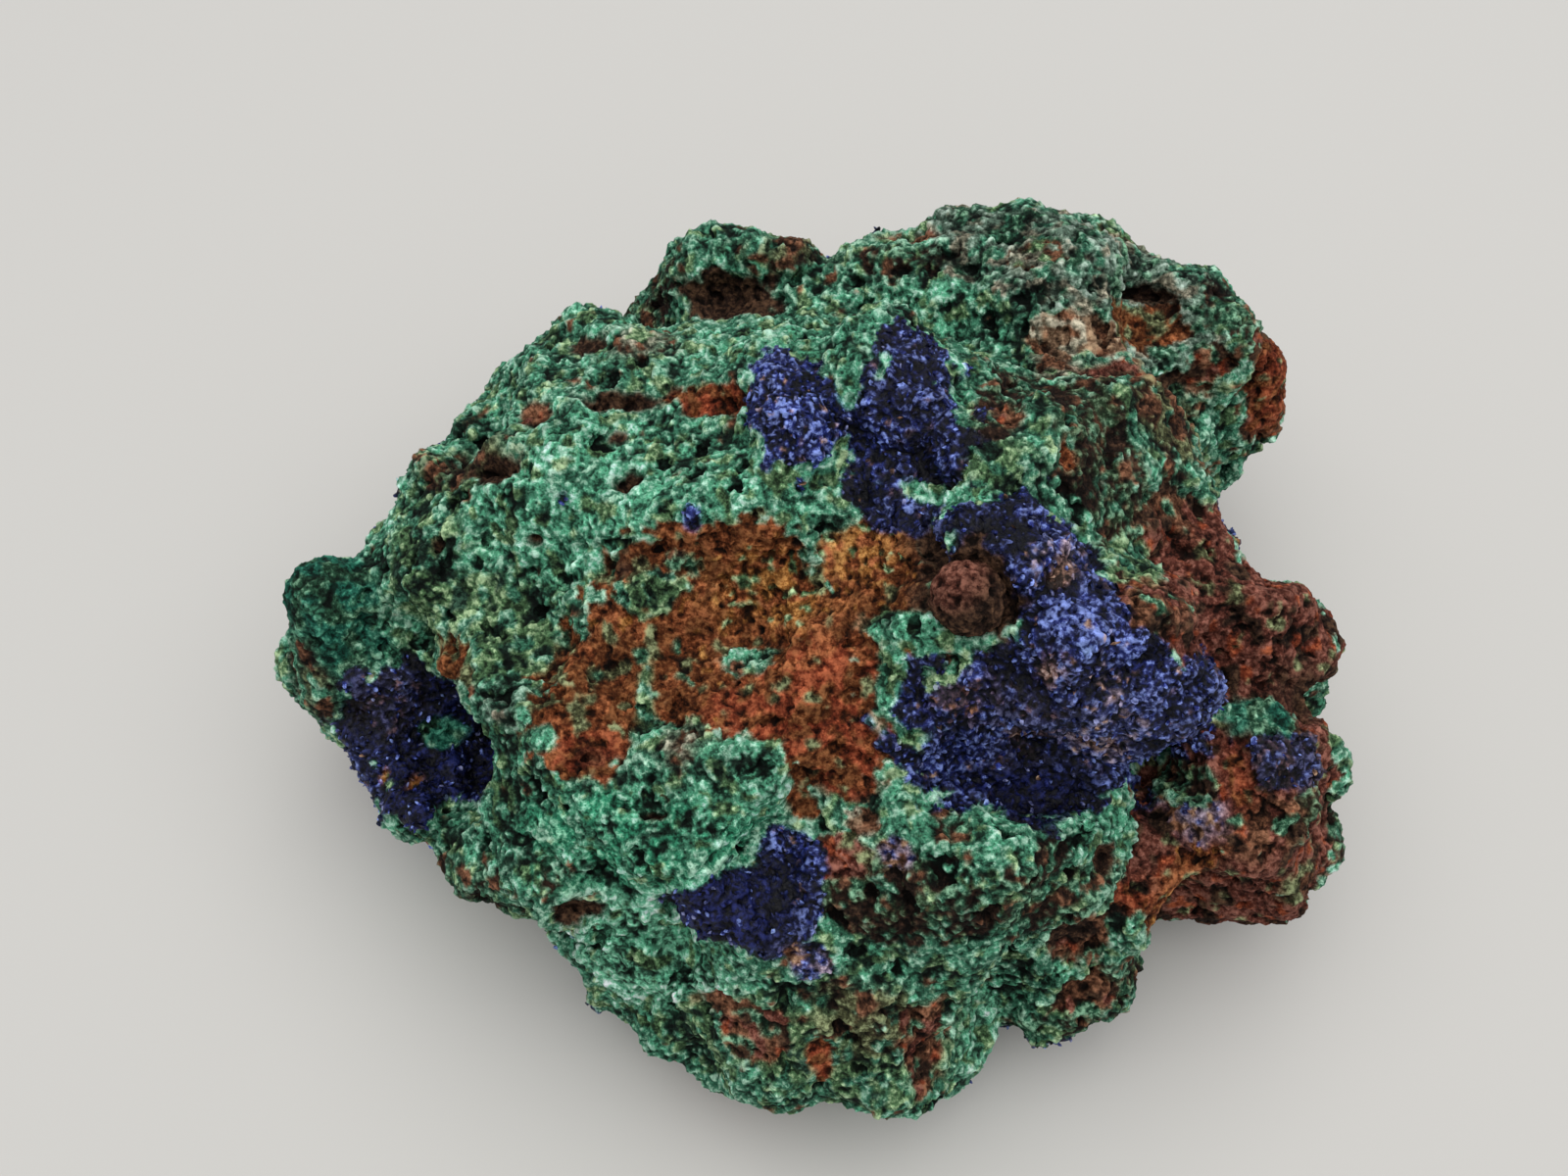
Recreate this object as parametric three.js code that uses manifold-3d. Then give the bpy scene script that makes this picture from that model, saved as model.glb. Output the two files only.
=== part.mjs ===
// Azurite and malachite specimen: one lump of rusty limonite matrix, overgrown by crusts of green malachite
// and bosses of blue azurite. It grew as one piece, so it is one solid. It rests on a flat broken face.
// Millimetres, +Z up, +Y towards the back. The origin is the middle of the bounding box's underside.
import * as THREE from "three";
import { ImprovedNoise } from "three/addons/math/ImprovedNoise.js";
import { mergeVertices } from "three/addons/utils/BufferGeometryUtils.js";
import Module from "manifold-3d";

// Driving dimensions
const LOW = new THREE.Vector3(-42, -42, -9); // the corners of a space that holds the whole lump
const HIGH = new THREE.Vector3(42, 42, 42);
const CELL = 1.9; // the spacing of the vertices
const LOBE_BLEND = 1.2; // how softly neighbouring lobes run together
const RIM_WIDTH = 3.2; // the width over which the rim of a hollow is rounded
const RELAX_ROUNDS = 4; // rounds that spread the vertices evenly over the surface
const SLIDE = 0.5; // the share of the way that a vertex moves in each round
const NORMAL_STEP = 0.2; // the step that measures which way the surface faces
const FILL_DEPTH = 0.1; // how deep inside the lump a corner counts as once it is filled in
const MALACHITE_GREEN = 0x3f8f70; // the colour that covers most of the lump

// Lumpy relief: the width of one lump, and how strongly it stands out or sinks in
const RELIEF = [
  { width: 9, rise: 2.6 },
  { width: 4.6, rise: 1.8 },
];

// The lobes of the lump: middle, half sizes, and turn about Z in degrees
const LOBES = [
  { name: "core", at: [0, -1, 14], half: [24, 22.5, 17.5], turn: 0 },
  { name: "upper left shoulder", at: [-14.8, 4.8, 16], half: [12.8, 11, 14.5], turn: 25 },
  { name: "upper left ledge", at: [-15.5, 14, 16.5], half: [6, 5.5, 9], turn: 0 },
  { name: "left knob", at: [-29.9, -3, 12.6], half: [6.3, 5.6, 7.8], turn: 0 },
  { name: "left foot", at: [-24, -9.5, 10], half: [8, 6, 8], turn: -35 },
  { name: "back left crest", at: [-5.7, 22.1, 15.5], half: [8, 6.2, 11.4], turn: 0 },
  { name: "back dome", at: [14.5, 18.2, 16], half: [12.5, 10.3, 14.5], turn: 0 },
  { name: "back right end", at: [27.1, 16.3, 16.5], half: [7.2, 6.3, 10], turn: 0 },
  { name: "right flank", at: [16, 4, 16], half: [12.5, 12.5, 15], turn: 0 },
  { name: "right spur", at: [27.6, -3.6, 14], half: [8.9, 5.7, 9.8], turn: -20 },
  { name: "front right knob", at: [28.2, -14.5, 12], half: [7.7, 7.1, 9.4], turn: 0 },
  { name: "front bulge", at: [6.5, -15.5, 14], half: [16.5, 11, 13], turn: 0 },
  { name: "front left bulge", at: [-12.5, -13, 13.5], half: [13.5, 9.5, 13], turn: -25 },
  { name: "front lip", at: [1, -24.2, 9.5], half: [11.5, 8.4, 9], turn: 0 },
  { name: "front left lip", at: [-9, -20.8, 10], half: [5.6, 5.4, 7.8], turn: 0 },
  { name: "front right lip", at: [18.1, -21, 9], half: [6.8, 6.2, 8.4], turn: 0 },
  { name: "azurite boss", at: [14, -9.5, 26], half: [10.5, 7, 7], turn: -10 },
  { name: "azurite neck", at: [12.5, -1, 28], half: [6, 7.5, 6], turn: 0 },
  { name: "brown ball", at: [8.8, -6.8, 30.5], half: [3.2, 3.2, 3.4], turn: 0 },
  { name: "azurite twin, left", at: [-1.2, 6.2, 30], half: [3.5, 4.5, 4], turn: 0 },
  { name: "azurite twin, right", at: [6.2, 5.5, 30], half: [4.5, 6, 4], turn: 0 },
];

// Hollows and notches cut into the lobes
const HOLLOWS = [
  { name: "left hollow", at: [-23.5, -11.2, 18], half: [6.3, 4.8, 6], turn: 0 },
  { name: "rust trough", at: [-7, -9.5, 35], half: [13, 5, 7.5], turn: 25 },
  { name: "back pocket", at: [-5.5, 18.5, 28.5], half: [4.5, 2.5, 3.5], turn: 0 },
  { name: "upper left ledge groove", at: [-14.4, 11, 31], half: [5, 1.6, 3], turn: 0 },
  { name: "upper left pit", at: [-22.5, 7.5, 25.5], half: [3.5, 2.5, 3], turn: 0 },
  { name: "crevice beside the neck", at: [6.3, -4.5, 33], half: [1.8, 3.5, 5], turn: 0 },
  { name: "left notch", at: [-31, 7.4, 16], half: [5.5, 4.6, 13], turn: 0 },
  { name: "right notch", at: [32.5, 8, 17], half: [6.2, 4.1, 16], turn: 0 },
  { name: "spur notch", at: [35.5, -8.2, 15], half: [4, 2.2, 12], turn: 0 },
  { name: "front right notch", at: [24.6, -25, 14], half: [3.1, 4, 16], turn: 0 },
  { name: "front notch", at: [12.8, -29.4, 12], half: [2.4, 3.6, 14], turn: 0 },
  { name: "front left pit", at: [-15, -20.5, 14.5], half: [2.2, 2.5, 2], turn: 0 },
  { name: "hollow under the boss", at: [13.5, -17.5, 25.5], half: [6.5, 2.5, 3], turn: 0 },
  { name: "back right groove", at: [20, 11.5, 32], half: [7, 1.8, 3], turn: 10 },
  { name: "front patch", at: [-3, -22, 25], half: [4.5, 3.5, 4.5], turn: 0 },
];

const AXES = [new THREE.Vector3(1, 0, 0), new THREE.Vector3(0, 1, 0), new THREE.Vector3(0, 0, 1)];

// The twelve edges of a cube of side one, each as its two ends
const CUBE_EDGES = [...places(2, 2, 2)].flatMap((from) => (
  [0, 1, 2].filter((axis) => from[axis] === 0).map((axis) => [from, from.with(axis, 1)])
));

for (const shape of [...LOBES, ...HOLLOWS]) {
  shape.middle = new THREE.Vector3(...shape.at);
  shape.size = new THREE.Vector3(...shape.half);
  shape.unturn = new THREE.Matrix4().makeRotationZ(-THREE.MathUtils.degToRad(shape.turn));
}

const local = new THREE.Vector3();
const ripple = new ImprovedNoise();

// Distance to an ellipsoid: close to exact near its surface, and negative inside it
function ellipsoidDistance(point, shape) {
  local.copy(point).sub(shape.middle).applyMatrix4(shape.unturn).divide(shape.size);
  const reach = local.length();
  const slope = local.divide(shape.size).length();
  return slope === 0 ? -Math.min(...shape.half) : (reach * (reach - 1)) / slope;
}

function reliefAt(point) {
  let height = 0;
  for (const { width, rise } of RELIEF) {
    height += rise * ripple.noise(point.x / width, point.y / width, point.z / width);
  }
  return height;
}

// Distance to the lump's surface: the lobes run together, the hollows are cut out and the relief is added
function lumpDistance(point) {
  let sum = 0;
  for (const lobe of LOBES) sum += Math.exp(-ellipsoidDistance(point, lobe) / LOBE_BLEND);
  let distance = -LOBE_BLEND * Math.log(sum);
  for (const hollow of HOLLOWS) {
    const cut = -ellipsoidDistance(point, hollow);
    const share = THREE.MathUtils.clamp((cut - distance) / RIM_WIDTH + 0.5, 0, 1);
    distance = THREE.MathUtils.lerp(distance, cut, share) + (RIM_WIDTH / 2) * share * (1 - share);
  }
  return distance - reliefAt(point);
}

// Outward direction of the surface, from a small step both ways along each axis
function surfaceNormal(point) {
  const slope = AXES.map((axis) => {
    const ahead = lumpDistance(point.clone().addScaledVector(axis, NORMAL_STEP));
    const behind = lumpDistance(point.clone().addScaledVector(axis, -NORMAL_STEP));
    return ahead - behind;
  });
  return new THREE.Vector3(...slope).normalize();
}

// Every place in a grid of the given counts
function* places(across, deep, tall) {
  for (let k = 0; k < tall; k += 1) {
    for (let j = 0; j < deep; j += 1) {
      for (let i = 0; i < across; i += 1) yield [i, j, k];
    }
  }
}

// Fills corners in until no side of a cube is inside at two opposite corners only, where four faces would
// share an edge. The vertices settle on the surface later.
function closePinches(distances, steps) {
  const sides = steps.map((step, axis) => [step, steps[(axis + 1) % 3]]);
  let filled = true;
  while (filled) {
    filled = false;
    for (let at = 0; at < distances.length; at += 1) {
      for (const [u, v] of sides) {
        const corners = [at, at + u, at + u + v, at + v];
        const inside = corners.map((corner) => distances[corner] < 0);
        if (inside[0] !== inside[2] || inside[1] !== inside[3] || inside[0] === inside[1]) continue;
        const outer = corners.filter((_, i) => !inside[i]);
        const nearest = distances[outer[0]] < distances[outer[1]] ? outer[0] : outer[1];
        distances[nearest] = -FILL_DEPTH;
        filled = true;
      }
    }
  }
}

// Samples the distance on a grid of cubes, and puts one vertex in each cube that the surface crosses
function crossedCubes() {
  const counts = new THREE.Vector3().subVectors(HIGH, LOW).divideScalar(CELL).ceil();
  const [across, deep, tall] = counts.toArray().map((count) => count + 1);
  const indexOf = ([i, j, k]) => i + across * (j + deep * k);
  const pointAt = (place) => new THREE.Vector3(...place).multiplyScalar(CELL).add(LOW);
  const distances = new Float32Array(across * deep * tall);
  for (const place of places(across, deep, tall)) distances[indexOf(place)] = lumpDistance(pointAt(place));
  const steps = [1, across, across * deep];
  closePinches(distances, steps);

  const points = [];
  const vertexOf = new Int32Array(distances.length).fill(-1);
  for (const place of places(across - 1, deep - 1, tall - 1)) {
    const crossings = [];
    for (const edge of CUBE_EDGES) {
      const [start, end] = edge.map((offset) => place.map((value, axis) => value + offset[axis]));
      const [before, after] = [distances[indexOf(start)], distances[indexOf(end)]];
      if (before < 0 === after < 0) continue;
      crossings.push(pointAt(start).lerp(pointAt(end), before / (before - after)));
    }
    if (crossings.length === 0) continue;
    const middle = crossings.reduce((sum, crossing) => sum.add(crossing), new THREE.Vector3());
    vertexOf[indexOf(place)] = points.length;
    points.push(middle.divideScalar(crossings.length));
  }
  return { distances, points, vertexOf, steps };
}

// Two triangles for each grid edge that the surface crosses, joining the vertices of the four cubes round it
function netTriangles({ distances, points, vertexOf, steps }) {
  const triangles = [];
  for (let at = 0; at < distances.length; at += 1) {
    for (const axis of [0, 1, 2]) {
      const inside = distances[at] < 0;
      if (at + steps[axis] >= distances.length || inside === distances[at + steps[axis]] < 0) continue;
      const [u, v] = [steps[(axis + 1) % 3], steps[(axis + 2) % 3]];
      const ring = [vertexOf[at - u - v], vertexOf[at - v], vertexOf[at], vertexOf[at - u]];
      if (!inside) ring.reverse();
      const [a, b, c, d] = ring;
      const splitAC = points[a].distanceTo(points[c]) < points[b].distanceTo(points[d]);
      triangles.push(...(splitAC ? [a, b, c, a, c, d] : [a, b, d, b, c, d]));
    }
  }
  return triangles;
}

function neighboursOf(triangles, count) {
  const neighbours = Array.from({ length: count }, () => new Set());
  for (let i = 0; i < triangles.length; i += 3) {
    const corners = triangles.slice(i, i + 3);
    for (const a of corners) {
      for (const b of corners) if (a !== b) neighbours[a].add(b);
    }
  }
  return neighbours.map((set) => [...set]);
}

// Slides each vertex along the surface to the middle of its neighbours, then back onto the surface
function relax(points, neighbours) {
  const moved = points.map((point, i) => {
    const middle = new THREE.Vector3();
    for (const n of neighbours[i]) middle.add(points[n]);
    middle.divideScalar(neighbours[i].length).sub(point);
    const normal = surfaceNormal(point);
    middle.addScaledVector(normal, -middle.dot(normal)).multiplyScalar(SLIDE).add(point);
    return middle.addScaledVector(normal, -lumpDistance(middle) * SLIDE);
  });
  moved.forEach((point, i) => points[i].copy(point));
}

function lumpGeometry() {
  const cubes = crossedCubes();
  const triangles = netTriangles(cubes);
  const neighbours = neighboursOf(triangles, cubes.points.length);
  for (let round = 0; round < RELAX_ROUNDS; round += 1) relax(cubes.points, neighbours);
  return new THREE.BufferGeometry().setFromPoints(cubes.points).setIndex(triangles);
}

function toSolid(wasm, geometry) {
  return new wasm.Manifold(new wasm.Mesh({
    numProp: 3,
    vertProperties: new Float32Array(geometry.attributes.position.array),
    triVerts: new Uint32Array(geometry.index.array),
  }));
}

function toGeometry(solid) {
  const mesh = solid.getMesh();
  const geometry = new THREE.BufferGeometry();
  geometry.setAttribute("position", new THREE.BufferAttribute(mesh.vertProperties, mesh.numProp));
  geometry.setIndex(new THREE.BufferAttribute(mesh.triVerts, 1));
  return geometry;
}

// Breaks the lump off flat at Z = 0, which is the face that it rests on
function withFlatUnderside(wasm, geometry) {
  const size = 4 * HIGH.x;
  const box = new THREE.BoxGeometry(size, size, size).translate(0, 0, -size / 2);
  box.deleteAttribute("normal");
  box.deleteAttribute("uv");
  return toGeometry(toSolid(wasm, geometry).subtract(toSolid(wasm, mergeVertices(box))));
}

// Moves the middle of the bounding box to X = Y = 0
function centred(geometry) {
  geometry.computeBoundingBox();
  const middle = geometry.boundingBox.getCenter(new THREE.Vector3());
  return geometry.translate(-middle.x, -middle.y, 0);
}

const wasm = await Module();
wasm.setup();

const specimen = new THREE.Mesh(
  centred(withFlatUnderside(wasm, lumpGeometry())),
  new THREE.MeshStandardMaterial({ color: MALACHITE_GREEN, roughness: 0.85, metalness: 0 }),
);
specimen.name = "azurite_malachite_specimen";
specimen.geometry.computeVertexNormals();

const group = new THREE.Group();
group.add(specimen);
export default group;
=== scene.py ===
# Dresses the azurite and malachite specimen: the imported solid's surface, split finely and raised into crumbs
# of malachite, facets of azurite and pitted limonite, with azurite blades on it, on a plain pale floor.
# Sizes here are in millimetres, and build_mesh() turns them into metres.
import math
from itertools import product

import bmesh
import bpy
import numpy as np
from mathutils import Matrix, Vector
from mathutils.bvhtree import BVHTree


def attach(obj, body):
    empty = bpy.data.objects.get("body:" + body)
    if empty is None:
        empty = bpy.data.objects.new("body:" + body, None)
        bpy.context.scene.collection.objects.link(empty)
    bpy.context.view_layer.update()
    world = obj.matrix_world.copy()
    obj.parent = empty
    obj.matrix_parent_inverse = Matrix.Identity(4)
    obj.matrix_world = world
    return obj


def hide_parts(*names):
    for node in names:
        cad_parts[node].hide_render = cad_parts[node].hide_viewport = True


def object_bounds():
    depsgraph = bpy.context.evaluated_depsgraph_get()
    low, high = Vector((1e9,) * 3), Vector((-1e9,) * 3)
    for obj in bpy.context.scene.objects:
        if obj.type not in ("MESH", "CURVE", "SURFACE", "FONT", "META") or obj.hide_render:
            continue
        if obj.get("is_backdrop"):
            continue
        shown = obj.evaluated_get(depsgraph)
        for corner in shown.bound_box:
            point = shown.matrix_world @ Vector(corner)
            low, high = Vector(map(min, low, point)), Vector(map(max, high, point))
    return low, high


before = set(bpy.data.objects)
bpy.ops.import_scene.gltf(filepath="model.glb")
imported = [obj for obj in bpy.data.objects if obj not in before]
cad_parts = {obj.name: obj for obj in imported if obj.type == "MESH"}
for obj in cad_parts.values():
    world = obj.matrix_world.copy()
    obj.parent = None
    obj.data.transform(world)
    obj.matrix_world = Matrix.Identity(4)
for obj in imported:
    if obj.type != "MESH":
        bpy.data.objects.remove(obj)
cad_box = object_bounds()

NODE = "azurite_malachite_specimen"
MM = 0.001
WELD_STEP = 1e-7  # in metres; corners of the solid that are nearer than this are one
chance = np.random.default_rng(20)

# ---------------- the camera
PHOTO_WIDTH, PHOTO_HEIGHT = 1600, 1200
FIELD_OF_VIEW = math.radians(50)
ELEVATION = math.radians(62)
AIM = np.array([-1.75, 0.4, 20.2])
CAMERA_DISTANCE = 111.0
RIGHT = np.array([1.0, 0.0, 0.0])
UP = np.array([0.0, math.sin(ELEVATION), math.cos(ELEVATION)])
BACK = np.array([0.0, -math.cos(ELEVATION), math.sin(ELEVATION)])
EYE = AIM + CAMERA_DISTANCE * BACK
FOCAL_PIXELS = PHOTO_WIDTH / 2 / math.tan(FIELD_OF_VIEW / 2)


def pixel_ray(x, y):
    """Direction from the eye through a pixel of the 1600 x 1200 frame."""
    ray = RIGHT * (x - PHOTO_WIDTH / 2) / FOCAL_PIXELS + UP * (PHOTO_HEIGHT / 2 - y) / FOCAL_PIXELS - BACK
    return ray / np.linalg.norm(ray)


def make_camera():
    data = bpy.data.cameras.new("camera")
    data.angle = FIELD_OF_VIEW
    data.clip_start = 0.005
    camera = bpy.data.objects.new("camera", data)
    bpy.context.scene.collection.objects.link(camera)
    camera.location = EYE * MM
    camera.rotation_euler = (math.pi / 2 - ELEVATION, 0, 0)
    bpy.context.scene.camera = camera


# ---------------- the minerals
MALACHITE, AZURITE, LIMONITE = 0, 1, 2

# Each tone: its mineral, and the colours of its crumbs' flanks and tips in soft light (sRGB), the paler tips
# partly a painted highlight.
# Then the darker tone that is painted into the recesses between the crumbs as painted shade, and the height,
# from about -1 to 1, below which it is.
TONES = {
    "mint": (MALACHITE, (0.37, 0.69, 0.54), (0.80, 0.98, 0.88), "shadow green", -0.35),
    "jade": (MALACHITE, (0.24, 0.60, 0.45), (0.68, 0.95, 0.80), "shadow green", -0.30),
    "sea green": (MALACHITE, (0.26, 0.50, 0.39), (0.70, 0.87, 0.76), "shadow green", -0.25),
    "moss": (MALACHITE, (0.34, 0.48, 0.32), (0.74, 0.85, 0.65), "shadow green", -0.25),
    "deep green": (MALACHITE, (0.18, 0.34, 0.25), (0.55, 0.74, 0.60), "dark umber", -0.10),
    "grey green": (MALACHITE, (0.40, 0.50, 0.43), (0.74, 0.82, 0.76), "shadow green", -0.35),
    "dark moss": (MALACHITE, (0.19, 0.27, 0.18), (0.52, 0.65, 0.51), "dark umber", 0.0),
    "pale mint": (MALACHITE, (0.45, 0.75, 0.60), (0.90, 1.0, 0.94), "shadow green", -0.40),
    "shadow green": (MALACHITE, (0.09, 0.17, 0.13), (0.26, 0.40, 0.32), "dark umber", -1.0),
    "teal": (MALACHITE, (0.13, 0.38, 0.31), (0.36, 0.68, 0.56), "shadow green", -0.50),
    "olive": (MALACHITE, (0.32, 0.33, 0.22), (0.63, 0.67, 0.49), "dark umber", -0.2),
    "ashen": (MALACHITE, (0.46, 0.45, 0.38), (0.84, 0.80, 0.70), "umber", -0.35),
    "royal blue": (AZURITE, (0.14, 0.18, 0.45), (0.54, 0.62, 0.90), "shaded navy", -0.40),
    "navy": (AZURITE, (0.08, 0.10, 0.28), (0.46, 0.52, 0.76), "shaded navy", -0.10),
    "shaded navy": (AZURITE, (0.03, 0.04, 0.16), (0.13, 0.16, 0.38), "dark umber", -1.0),
    "dull navy": (AZURITE, (0.15, 0.15, 0.27), (0.36, 0.37, 0.52), "dark umber", -0.6),
    "bruised navy": (AZURITE, (0.24, 0.18, 0.22), (0.50, 0.38, 0.40), "shaded navy", -0.4),
    "slate blue": (AZURITE, (0.22, 0.24, 0.42), (0.58, 0.60, 0.78), "shaded navy", -0.4),
    "rust": (LIMONITE, (0.41, 0.21, 0.11), (0.70, 0.43, 0.27), "dark umber", -0.45),
    "brown rust": (LIMONITE, (0.33, 0.17, 0.08), (0.55, 0.35, 0.21), "dark umber", -0.6),
    "yellow rust": (LIMONITE, (0.52, 0.33, 0.15), (0.80, 0.58, 0.33), "brown rust", -0.4),
    "red rust": (LIMONITE, (0.46, 0.20, 0.12), (0.70, 0.38, 0.25), "dark umber", -0.6),
    "umber": (LIMONITE, (0.36, 0.23, 0.16), (0.62, 0.43, 0.32), "dark umber", -0.45),
    # dark umber: dark brown stone, and also the painted shade laid in pits, crevices and under ledges and
    # overhangs
    "dark umber": (LIMONITE, (0.18, 0.12, 0.09), (0.36, 0.26, 0.19), "dark umber", -1.0),
    "maroon": (LIMONITE, (0.36, 0.19, 0.15), (0.60, 0.39, 0.33), "dark umber", -0.5),
    # tan: pale peach specks, on the azurite partly painted reflections on its crystals
    "tan": (AZURITE, (0.58, 0.43, 0.34), (0.90, 0.74, 0.60), "umber", -1.0),
    "fawn": (LIMONITE, (0.44, 0.34, 0.26), (0.70, 0.58, 0.46), "umber", -0.4),
    "lavender": (LIMONITE, (0.46, 0.40, 0.46), (0.76, 0.68, 0.74), "umber", -0.6),
}
TONE_NAMES = list(TONES)
BASE_TONE = "sea green"  # where no patch lies
NO_TONE = -1  # takes no flecks and shows no ground

# Flecks of other tones in a tone: their tone, width in millimetres, and share of the surface
FLECKS = {
    "mint": (("sea green", 1.6, 0.25), ("moss", 1.2, 0.22)),
    "jade": (("sea green", 1.6, 0.30), ("mint", 1.2, 0.25), ("moss", 1.1, 0.08)),
    "moss": (("sea green", 1.2, 0.35), ("shadow green", 1.2, 0.10)),
    "pale mint": (("mint", 1.6, 0.30), ("moss", 1.2, 0.15)),
    "dark moss": (("sea green", 1.2, 0.18), ("deep green", 1.3, 0.20), ("umber", 1.2, 0.12)),
    "grey green": (("ashen", 1.4, 0.25), ("deep green", 1.3, 0.30), ("sea green", 1.1, 0.15)),
    "sea green": (("moss", 1.3, 0.25), ("mint", 1.2, 0.18), ("umber", 1.4, 0.03)),
    "deep green": (("moss", 1.1, 0.20), ("sea green", 1.2, 0.18), ("umber", 1.4, 0.12)),
    "teal": (("deep green", 1.8, 0.35), ("sea green", 1.0, 0.08)),
    "olive": (("sea green", 1.3, 0.25), ("umber", 1.8, 0.30)),
    "ashen": (("moss", 1.3, 0.30), ("umber", 1.2, 0.20)),
    "royal blue": (("navy", 1.0, 0.35), ("tan", 0.5, 0.02)),
    "navy": (("royal blue", 0.9, 0.28), ("shaded navy", 1.2, 0.20), ("bruised navy", 1.0, 0.04)),
    "slate blue": (
        ("royal blue", 0.9, 0.25), ("navy", 1.0, 0.25), ("lavender", 0.7, 0.18), ("tan", 0.5, 0.05),
    ),
    "dull navy": (("navy", 1.0, 0.25), ("bruised navy", 0.9, 0.20)),
    "lavender": (("navy", 0.8, 0.25), ("tan", 0.7, 0.25), ("umber", 1.0, 0.15)),
    "bruised navy": (("navy", 1.0, 0.40), ("umber", 0.7, 0.15)),
    "rust": (("brown rust", 1.2, 0.35), ("yellow rust", 0.7, 0.06), ("olive", 1.5, 0.06)),
    "brown rust": (("rust", 1.1, 0.25), ("olive", 1.3, 0.20), ("deep green", 1.6, 0.04)),
    "yellow rust": (("rust", 1.0, 0.40), ("moss", 0.8, 0.15)),
    "red rust": (("rust", 1.0, 0.25), ("brown rust", 1.2, 0.30), ("olive", 1.2, 0.04)),
    "umber": (
        ("maroon", 1.4, 0.22), ("red rust", 1.0, 0.06), ("deep green", 1.6, 0.15), ("dark umber", 1.8, 0.25),
    ),
    "maroon": (("red rust", 1.0, 0.10), ("dark umber", 1.6, 0.25), ("olive", 1.3, 0.05)),
    "fawn": (("umber", 1.3, 0.30), ("ashen", 1.1, 0.20)),
}
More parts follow.
